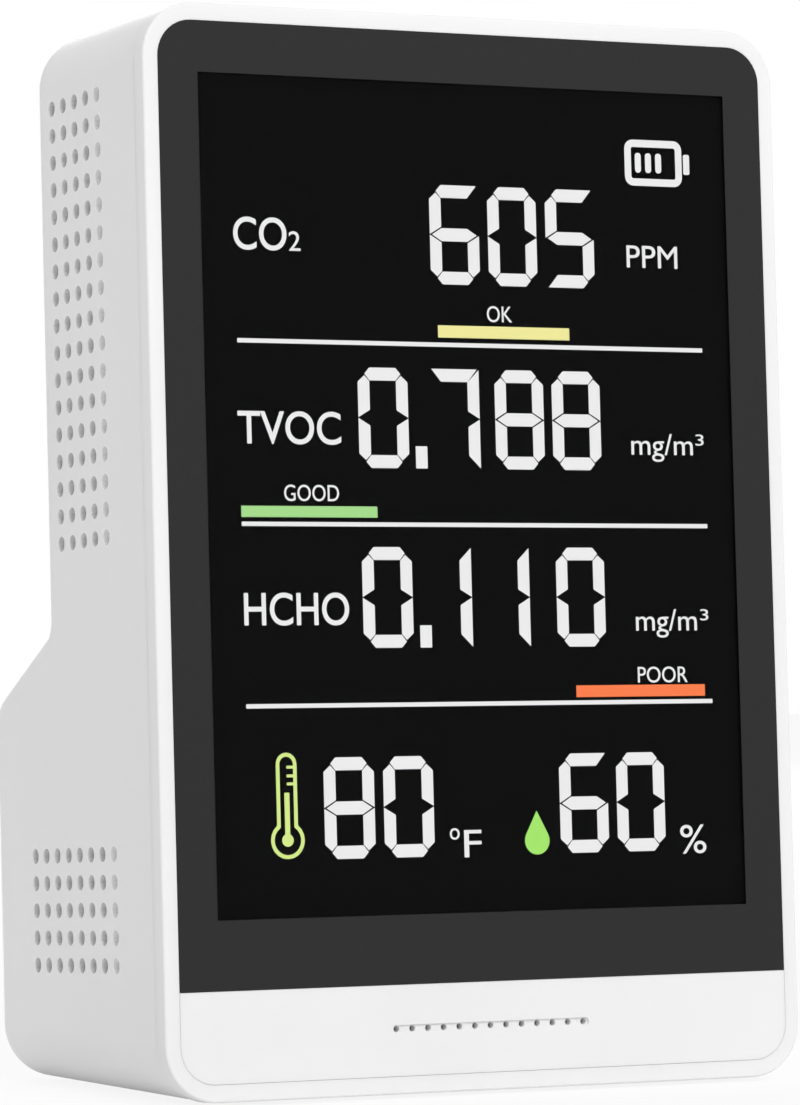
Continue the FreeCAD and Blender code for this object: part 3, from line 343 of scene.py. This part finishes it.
def draw_figure(bm, figure, left, low):
    """One seven-stroke figure with its lower left corner at left, low."""
    lit = LIT_STROKES[figure]
    square = figure in SQUARE_FIGURES
    half = figure_tall / 2
    clip = corner_clip
    middle = [(0.36, half), (clip, half - 0.92), (figure_wide - clip, half - 0.92),
              (figure_wide - 0.36, half), (figure_wide - clip, half + 0.92), (clip, half + 0.92)]
    side = upright_stroke(square)
    across = level_stroke("f" in lit, "b" in lit and not square)
    across_foot = level_stroke("e" in lit, "c" in lit)
    # name, outline, mirrored across, mirrored down
    strokes = [("a", across, False, False), ("b", side, True, False), ("c", side, True, True),
               ("d", across_foot, False, True), ("e", side, False, True), ("f", side, False, False),
               ("g", middle, False, False)]
    for name, outline, flip_across, flip_down in strokes:
        if name in lit:
            points = [(figure_wide - x if flip_across else x, figure_tall - y if flip_down else y)
                      for x, y in outline]
            plate(bm, [(left + x, low + figure_tall - y) for x, y in points])


def set_words(bm, words, left, low, wide, tall, weight=0.0):
    """Words in a plain sans face, made a mesh and fitted to a width and a height in millimetres."""
    line = bpy.data.curves.new("words", "FONT")
    line.body = words
    line.extrude = 0.5
    line.offset = weight
    line.resolution_u = 6
    setter = bpy.data.objects.new("words", line)
    printed = bpy.data.meshes.new_from_object(setter)
    bpy.data.objects.remove(setter)
    before = set(bm.verts)
    bm.from_mesh(printed)
    fresh = [v for v in bm.verts if v not in before]
    first = Vector(min(v.co[axis] for v in fresh) for axis in range(3))
    last = Vector(max(v.co[axis] for v in fresh) for axis in range(3))
    size = last - first
    bmesh.ops.translate(bm, verts=fresh, vec=-first)
    bmesh.ops.scale(bm, verts=fresh, vec=(wide / size.x, tall / size.y, mark_thick / size.z))
    bmesh.ops.translate(bm, verts=fresh, vec=(left, low, 0))


def bar(bm, left, low, right, high):
    """A lit rectangle."""
    plate(bm, [(left, low), (right, low), (right, high), (left, high)])


def lit_finish(name, colour):
    """Light through a cell: a flat glow, a few parts in a hundred uneven as edge lighting is."""
    finish, tree, shader = new_finish(name, "0c0c0c", 0.4, Emission_Strength=1.0)
    sweep = add(tree, "TexNoise", {"Vector": texture_place(tree), "Scale": 1000 / 25})
    bright = linear(colour)
    ramp = add(tree, "ValToRGB", {"Fac": sweep.outputs["Fac"]})
    ramp.color_ramp.elements[0].color = tuple(c * 0.97 for c in bright[:3]) + (1.0,)
    ramp.color_ramp.elements[1].color = bright
    tree.links.new(ramp.outputs[0], shader.inputs["Emission Color"])
    return finish


lit_white = lit_finish("white_backlit_cell", "f1f1f1")

# figures, level of their foot, left edge of each; then the point's left edge and level
READINGS = [
    ("605", 112.60, (-6.44, 2.78, 12.06), None),
    ("0788", 86.70, (-18.39, -7.10, 3.17, 12.33), -9.56),
    ("0110", 61.70, (-18.44, -9.10, 0.12, 12.25), -9.61),
    ("8060", 32.63, (-25.22, -16.00, 11.83, 21.06), None),
]
point_wide = 1.8
point_tall = 3.1
bm = bmesh.new()
for figures, level, lefts, point in READINGS:
    for figure, left in zip(figures, lefts):
        draw_figure(bm, figure, left, level)
    if point is not None:
        bar(bm, point, level, point + point_wide, level + point_tall)
place_piece("lit_figures", bm, lit_white, mark_axes)


# The lit words, rules and battery sign: the fixed marks of the display, etched in the cell's
# electrodes, so their edges are crisp and their brightness is that of the figures.

# words, left, foot, width, height, and how much thicker the strokes are, in parts of the type size
WORDS = [
    ("CO", -37.00, 116.61, 8.17, 4.61, 0.008), ("2", -28.50, 116.67, 1.78, 2.72, 0.0),
    ("PPM", 25.17, 115.78, 8.33, 3.16, 0.0), ("OK", 2.28, 107.44, 4.00, 2.28, 0.0),
    ("TVOC", -37.00, 89.83, 15.83, 4.61, 0.008), ("mg/m", 25.06, 88.00, 10.11, 4.00, 0.0),
    ("3", 35.67, 90.39, 1.33, 1.61, 0.0), ("GOOD", -30.17, 82.00, 8.45, 2.28, 0.0),
    ("HCHO", -36.72, 64.83, 16.11, 4.56, 0.008), ("mg/m", 25.00, 62.90, 10.00, 4.04, 0.0),
    ("3", 35.60, 65.33, 1.33, 1.61, 0.0), ("POOR", 25.06, 56.50, 8.16, 2.28, 0.0),
    ("o", -5.80, 34.90, 1.53, 1.60, 0.0), ("F", -3.56, 32.40, 2.71, 3.80, 0.0),
    ("%", 31.25, 32.10, 4.25, 4.10, 0.0),
]
rule_left = -36.75
rule_right = 37.2
rule_thick = 0.6
RULE_LEVELS = (104.1, 78.84, 53.8)


def ring_mark(bm, outer, hole):
    """A raised mark in the shape of an outline with a hole, both with the same number of points."""
    rims = []
    for outline in (outer, hole):
        corners = [bm.verts.new((x, y, 0)) for x, y in outline]
        rims.append([bm.edges.new((corners[i - 1], corners[i])) for i in range(len(corners))])
    raise_mark(bm, bmesh.ops.bridge_loops(bm, edges=rims[0] + rims[1])["faces"])


def rounded_outline(left, low, right, high, radius, steps=6):
    """Points round a rectangle with rounded corners."""
    points = []
    centres = [(right - radius, high - radius), (left + radius, high - radius),
               (left + radius, low + radius), (right - radius, low + radius)]
    for quarter, (x, y) in enumerate(centres):
        for step in range(steps + 1):
            angle = (quarter + step / steps) * pi / 2
            points.append((x + radius * cos(angle), y + radius * sin(angle)))
    return points


bm = bmesh.new()
for words, left, low, wide, tall, weight in WORDS:
    set_words(bm, words, left, low, wide, tall, weight)
for level in RULE_LEVELS:
    bar(bm, rule_left, level - rule_thick / 2, rule_right, level + rule_thick / 2)
left, low, right, high = 25.28, 127.56, 34.67, 134.17
battery_line, battery_corner, battery_hole_corner = 1.05, 1.35, 0.35
charge_first, charge_apart, charge_wide, charge_corner = 1.70, 1.67, 0.96, 0.45
charge_foot, charge_head = 1.88, 1.89
knob_gap, knob_wide, knob_corner = 0.27, 1.0, 0.25
knob_foot, knob_head = 1.83, 1.89
ring_mark(bm, rounded_outline(left, low, right, high, battery_corner),
          rounded_outline(left + battery_line, low + battery_line, right - battery_line,
                          high - battery_line, battery_hole_corner))
for charge in range(3):
    edge = left + charge_first + charge_apart * charge
    plate(bm, rounded_outline(edge, low + charge_foot, edge + charge_wide, high - charge_head,
                              charge_corner))
edge = right + knob_gap
plate(bm, rounded_outline(edge, low + knob_foot, edge + knob_wide, high - knob_head, knob_corner))
place_piece("lit_words_and_rules", bm, lit_white, mark_axes)


# The three level bars, the thermometer and the drop: cells behind strips of colour film, so they
# glow yellow, green, orange and two yellow greens.

# name, left, low, right, high, colour
LEVEL_BARS = [
    ("ok_bar", -5.56, 105.11, 15.44, 106.83, "f4ee99"),
    ("good_bar", -36.78, 79.78, -15.83, 81.33, "a4de88"),
    ("poor_bar", 15.00, 54.56, 36.00, 56.22, "ff7838"),
]
for name, left, low, right, high, colour in LEVEL_BARS:
    bm = bmesh.new()
    bar(bm, left, low, right, high)
    place_piece(name, bm, lit_finish("colour_filtered_cell_" + name, colour), mark_axes)

tube_left, tube_right, tube_top = -32.50, -29.33, 47.4
tube_line = 0.54
bulb_level, bulb_radius = 35.37, 2.58
stem_wide, stem_top, drop_radius = 0.75, 41.9, 0.88
TICK_LEVELS = (45.4, 44.2, 43.1)
tick_long, tick_overlap, tick_half = 1.0, 0.1, 0.2
middle = (tube_left + tube_right) / 2


def flask_outline(half, radius, top, rounded, steps=16):
    """A bulb with an upright stem over it, the stem's top round or square."""
    start = pi / 2 - asin(half / radius)
    points = []
    for step in range(steps + 1):
        angle = pi - start + step / steps * (pi + 2 * start)
        points.append((middle + radius * cos(angle), bulb_level + radius * sin(angle)))
    for step in range(9):
        angle = step / 8 * pi
        if rounded:
            points.append((middle + half * cos(angle), top - half + half * sin(angle)))
        else:
            points.append((middle + half * (1 - step / 4), top))
    return points


bm = bmesh.new()
half = (tube_right - tube_left) / 2
ring_mark(bm, flask_outline(half, bulb_radius, tube_top, True),
          flask_outline(half - tube_line, bulb_radius - tube_line, tube_top - tube_line, True))
plate(bm, flask_outline(stem_wide / 2, drop_radius, stem_top, False))
wall = tube_right - tube_line
for level in TICK_LEVELS:
    bar(bm, wall - tick_long, level - tick_half, wall + tick_overlap, level + tick_half)
place_piece("thermometer_sign", bm, lit_finish("colour_filtered_cell_warm", "d8ef88"), mark_axes)

drop_middle, drop_level, drop_wide, drop_tip = 8.04, 34.5, 1.96, 38.67
bm = bmesh.new()
tangent = asin(drop_wide / (drop_tip - drop_level))
sweep_angle = 2 * (pi / 2 + tangent)
outline = [(drop_middle, drop_tip)]
for step in range(25):
    angle = pi - tangent + step / 24 * sweep_angle
    outline.append((drop_middle + drop_wide * cos(angle), drop_level + drop_wide * sin(angle)))
plate(bm, outline)
place_piece("drop_sign", bm, lit_finish("colour_filtered_cell_drop", "a3ea64"), mark_axes)


# Behind the face: two sheets of etched cell glass, milky films and the edge-lit guide that spread
# the light of six small lamps, all held in a moulded tray.

def band_scale(apart):
    """The scale of a wave texture whose bands are this many millimetres apart."""
    turns_per_unit = 20 / (2 * pi)
    return 1000 / turns_per_unit / apart


cell_glass = bpy.data.materials.new("etched_cell_glass")
tree = blank_tree(cell_glass)
lines = add(tree, "TexWave", {"Vector": texture_place(tree), "Scale": band_scale(2.37)})
etch = add(tree, "ValToRGB", {"Fac": lines.outputs["Fac"]})
etch.color_ramp.elements[0].color = linear("202428")
etch.color_ramp.elements[1].color = linear("2a3034")
sheet = add(tree, "BsdfPrincipled", {"Base Color": etch.outputs[0], "Roughness": 0.05, "IOR": 1.52})
clear = add(tree, "BsdfTransparent")
dim = add(tree, "MixShader", {0: 0.4, 1: sheet.outputs[0], 2: clear.outputs[0]})
add(tree, "OutputMaterial", {"Surface": dim.outputs[0]})
dress(cell_glass, "lcd_front_glass", "lcd_rear_glass")

milky, tree, shader = new_finish("milky_diffusing_film", "eef0f0", 0.45, IOR=1.57)
grain = roughen(tree, shader, 0.3, 0.002)
tint(tree, shader, grain.outputs["Fac"], "e9ebeb", "f2f3f3")
dress(milky, "diffuser_film", "reflector_sheet")

guide, tree, shader = new_finish("dotted_acrylic_light_guide", "e4ecec", 0.12, IOR=1.49)
dots = add(tree, "TexVoronoi", {"Vector": texture_place(tree), "Scale": 1000 / 1.5, "Randomness": 0.2})
tint(tree, shader, dots.outputs["Distance"], "fbfbfb", "d3dede", 0.20, 0.28)
dress(guide, "light_guide")

lamp_resin, tree, shader = new_finish("phosphor_lamp_resin", "f3e9a8", 0.35)
speck = add(tree, "TexNoise", {"Vector": texture_place(tree), "Scale": 1000 / 0.2})
tint(tree, shader, speck.outputs["Fac"], "efe08f", "f8f2c8")
dress(lamp_resin, "backlight_lamps")

flex, tree, shader = new_finish("white_covered_flex_circuit", "dcdcd6", 0.4)
track_apart = 1.97
tracks = add(tree, "TexWave", {"Vector": texture_place(tree), "Scale": band_scale(track_apart),
                               "Distortion": 0.5}, bands_direction="Y")
tint(tree, shader, tracks.outputs["Fac"], "d4d3c8", "e2e2de", 0.45, 0.55)
dress(flex, "lamp_strip")

inner_plastic, tree, shader = new_finish("moulded_white_polycarbonate", "e8e8e4", 0.45, IOR=1.58)
grain = roughen(tree, shader, 0.6, 0.004, soft=0.06)
tint(tree, shader, grain.outputs["Fac"], "e5e5e1", "ebebe8")
dress(inner_plastic, "backlight_tray", "battery_cradle", "battery_socket", "battery_plug",
      "charge_sockets", "board_charge_socket")

zebra, tree, shader = new_finish("striped_silicone_contact", "a0a0a2", 0.7)
stripes = add(tree, "TexWave", {"Vector": texture_place(tree), "Scale": band_scale(0.99)})
tint(tree, shader, stripes.outputs["Fac"], "2a2a2c", "b4b4b6", 0.42, 0.58)
dress(zebra, "contact_strip")


# The dust mesh: a strip of grey woven polyester glued behind the row of sound holes, which have
# dim floors and pale walls. Its threads are 0.1 mm apart, drawn at 0.6 mm so that they show.

mesh_wide, mesh_tall, mesh_thick, mesh_corner = 32.4, 2.7, 0.2, 0.6
thread_apart = 0.59
groove_level = 9.0
strip_back = min((inverse @ v.co).z for v in frame["nodes"]["lower_strip"].data.vertices) / mm

dust_cloth, tree, shader = new_finish("woven_polyester_dust_mesh", "a8a8aa", 0.85)
spot = texture_place(tree)
warp = add(tree, "TexWave", {"Vector": spot, "Scale": band_scale(thread_apart)})
weft = add(tree, "TexWave", {"Vector": spot, "Scale": band_scale(thread_apart)}, bands_direction="Z")
woven = add(tree, "Math", {0: warp.outputs["Fac"], 1: weft.outputs["Fac"]}, operation="MULTIPLY")
tint(tree, shader, woven.outputs[0], "909092", "c0c0c2", 0.1, 0.8)
bm = bmesh.new()
rounded_sheet(bm, -mesh_wide / 2, groove_level - mesh_tall / 2, mesh_wide, mesh_tall,
              strip_back - mesh_thick - mark_gap, mesh_thick, mesh_corner)
place_piece("dust_mesh", bm, dust_cloth, case_axes)


# The boards: glass fibre with a green solder mask over copper tracks. The tracks stand a little
# lighter under the mask, in rows 1.27 mm apart.

board, tree, shader = new_finish("green_masked_glass_fibre_board", "1d5a32", 0.32, IOR=1.5)
spot = texture_place(tree)
# a brick is half a unit long and a quarter high
tracks = add(tree, "TexBrick", {"Vector": spot, "Scale": 1000 / (4 * 1.27),
                                "Color1": (0.2, 0.2, 0.2, 1), "Color2": (0.35, 0.35, 0.35, 1),
                                "Mortar": (1, 1, 1, 1), "Mortar Size": 0.03})
weave = add(tree, "TexNoise", {"Vector": spot, "Scale": 1000 / 3.0})
laid = add(tree, "Math", {0: tracks.outputs["Color"], 1: weave.outputs["Fac"]}, operation="MULTIPLY")
tint(tree, shader, laid.outputs[0], "174a29", "2f8048", 0.05, 0.45)
ridge = add(tree, "Bump", {"Height": tracks.outputs["Fac"], "Distance": 0.00003})
tree.links.new(ridge.outputs[0], shader.inputs["Normal"])
dress(board, "main_board", "key_board", "charge_board", "co2_sensor_board", "hcho_sensor_board",
      "battery_guard_board")

epoxy, tree, shader = new_finish("moulded_black_epoxy", "262627", 0.5, IOR=1.55)
grain = roughen(tree, shader, 0.25, 0.006, soft=0.06)
tint(tree, shader, grain.outputs["Fac"], "202021", "2b2b2c")
dress(epoxy, "controller_chip", "charger_chip", "buzzer", "climate_sensor", "co2_header",
      "hcho_header", "hcho_cell", "usb_tongue", "power_plunger", "mode_plunger", "set_plunger")


# The gas sensors: a gold-flashed brass chamber with its lamp and detector cans, and discs of white
# porous film that let air in and keep dust out.

gold, tree, shader = new_finish("gold_flashed_brass", "c9ac6a", 0.3, Metallic=1.0)
draw_marks = roughen(tree, shader, 0.5, 0.002, soft=0.08, stretch=(0.15, 1, 1))
tint(tree, shader, draw_marks.outputs["Fac"], "bf9f5c", "d3b878")
dress(gold, "tvoc_sensor", "co2_chamber", "co2_lamp", "co2_detector")

porous, tree, shader = new_finish("porous_white_film", "ebebe8", 0.85)
pores = add(tree, "TexVoronoi", {"Vector": texture_place(tree), "Scale": 1000 / 0.3})
pits = add(tree, "Bump", {"Height": pores.outputs["Distance"], "Distance": 0.00004})
tree.links.new(pits.outputs[0], shader.inputs["Normal"])
tint(tree, shader, pores.outputs["Distance"], "dcdcd8", "f2f2f0", 0.05, 0.4)
dress(porous, "co2_membrane", "hcho_membrane")


# The battery: a steel cell in a blue shrink sleeve, which wrinkles finely and pulls in at its ends,
# with soft-skinned leads to its plug.

sleeve, tree, shader = new_finish("blue_shrink_sleeve", "2a5fa8", 0.28, IOR=1.54)
creases = roughen(tree, shader, 3.0, 0.02, soft=0.05, stretch=(0.3, 1, 1))
tint(tree, shader, creases.outputs["Fac"], "27589c", "2f6ab6")
dress(sleeve, "battery_cell")

lead_skin, tree, shader = new_finish("red_silicone_lead_skin", "a01c18", 0.45, IOR=1.43)
grain = roughen(tree, shader, 0.5, 0.004)
tint(tree, shader, grain.outputs["Fac"], "941915", "ac221d")
dress(lead_skin, "battery_leads")

ribbon, tree, shader = new_finish("grey_ribbon_flex", "b8b4a8", 0.4)
tracks = add(tree, "TexWave", {"Vector": texture_place(tree), "Scale": band_scale(track_apart)})
tint(tree, shader, tracks.outputs["Fac"], "a9a392", "c4c1b8", 0.45, 0.55)
dress(ribbon, "charge_ribbon", "key_ribbon")


# Metal pieces: nickel-plated stamped steel for the socket's shell and the switches, zinc plate with
# turning rings for the screws.

nickel, tree, shader = new_finish("nickel_plated_steel", "c4c4c2", 0.26, Metallic=1.0)
roll_marks = roughen(tree, shader, 0.4, 0.001, soft=0.06, stretch=(1, 1, 0.1))
tint(tree, shader, roll_marks.outputs["Fac"], "bcbcba", "cccccb")
dress(nickel, "usb_shell", "key_switches")

zinc, tree, shader = new_finish("zinc_plated_steel", "b2b3b6", 0.34, Metallic=1.0)
grain = roughen(tree, shader, 0.3, 0.003, soft=0.08)
tint(tree, shader, grain.outputs["Fac"], "a6a7ab", "bcbdc0")
dress(zinc, "board_screws", "case_screws", "charge_board_screws", "key_board_screws")


# The keys: white ABS like the case but from a polished tool, so a little glossier, with signs pad
# printed in grey on the wall under them.

key_plastic, tree, shader = new_finish("satin_moulded_white_abs", "e8e8e6", 0.38, IOR=1.53)
grain = roughen(tree, shader, 0.4, 0.002, soft=0.04)
tint(tree, shader, grain.outputs["Fac"], "e6e6e4", "eaeae9")
dress(key_plastic, "power_button", "mode_button", "set_button")

sign_ink, tree, shader = new_finish("pad_printed_grey_ink", "6c6e70", 0.6)
grain = roughen(tree, shader, 0.3, 0.002)
tint(tree, shader, grain.outputs["Fac"], "67696b", "727476")

key_proud = 1.0
sign_drop = 8.6
sign_tall = 2.2
sign_sunk = 0.01
sign_line = 0.42
key_back = -min((inverse @ v.co).z for v in frame["nodes"]["mode_button"].data.vertices) / mm
wall_back = key_back - key_proud
seen_from_behind = case_axes @ Matrix.Rotation(pi, 4, "Y")
sign_axes = seen_from_behind @ Matrix.Translation((0, 0, (wall_back - sign_sunk) * mm))
ring_radius, ring_opening = 1.5, radians(38)
ring_bar_foot, ring_bar_top = 0.1, 1.75
# key, words, width
KEY_WORDS = [("mode", "MODE", 6.4), ("set", "SET", 4.6)]


def key_middle(key):
    """A key's place across the case, seen from behind, and its height, in millimetres."""
    spots = [inverse @ v.co for v in frame["nodes"][key + "_button"].data.vertices]
    across = (min(p.x for p in spots) + max(p.x for p in spots)) / 2
    up = (min(p.y for p in spots) + max(p.y for p in spots)) / 2
    return -across / mm, up / mm


def power_ring(x, y, radius, line, opening, steps=28):
    """An open ring round x, y, as an outline out along its rim and back along its inside."""
    angles = [pi / 2 + opening + step / steps * 2 * (pi - opening) for step in range(steps + 1)]
    outer = [(x + radius * cos(a), y + radius * sin(a)) for a in angles]
    inner = [(x + (radius - line) * cos(a), y + (radius - line) * sin(a)) for a in reversed(angles)]
    return outer + inner


bm = bmesh.new()
x, y = key_middle("power")
y -= sign_drop
plate(bm, power_ring(x, y, ring_radius, sign_line, ring_opening))
bar(bm, x - sign_line / 2, y + ring_bar_foot, x + sign_line / 2, y + ring_bar_top)
for key, words, wide in KEY_WORDS:
    x, y = key_middle(key)
    set_words(bm, words, x - wide / 2, y - sign_drop - sign_tall / 2, wide, sign_tall)
place_piece("key_signs", bm, sign_ink, sign_axes)

# a lightning flash over the charging socket, whose mouth lies socket_sunk inside the foot's wall
BOLT = [(0.3, 3.0), (-1.1, 0.1), (-0.1, 0.1), (-0.6, -2.2), (1.1, 1.0), (0.1, 1.0), (1.0, 3.0)]
bolt_rise = 6.4
socket = [inverse @ v.co for v in frame["nodes"]["usb_shell"].data.vertices]
socket_level = (min(p.y for p in socket) + max(p.y for p in socket)) / 2 / mm
socket_sunk = 0.9
foot_back = -min(p.z for p in socket) / mm + socket_sunk
bolt_axes = seen_from_behind @ Matrix.Translation((0, 0, (foot_back - sign_sunk) * mm))
bm = bmesh.new()
plate(bm, [(x, socket_level + bolt_rise + y) for x, y in BOLT])
place_piece("charge_sign", bm, sign_ink, bolt_axes)


# The feet: four discs of soft grey-white rubber pressed into the underside.

rubber, tree, shader = new_finish("moulded_grey_rubber", "c8c8c6", 0.75, IOR=1.52)
grain = roughen(tree, shader, 0.5, 0.01, soft=0.05)
tint(tree, shader, grain.outputs["Fac"], "c2c2c0", "cececc")
dress(rubber, "rubber_feet")
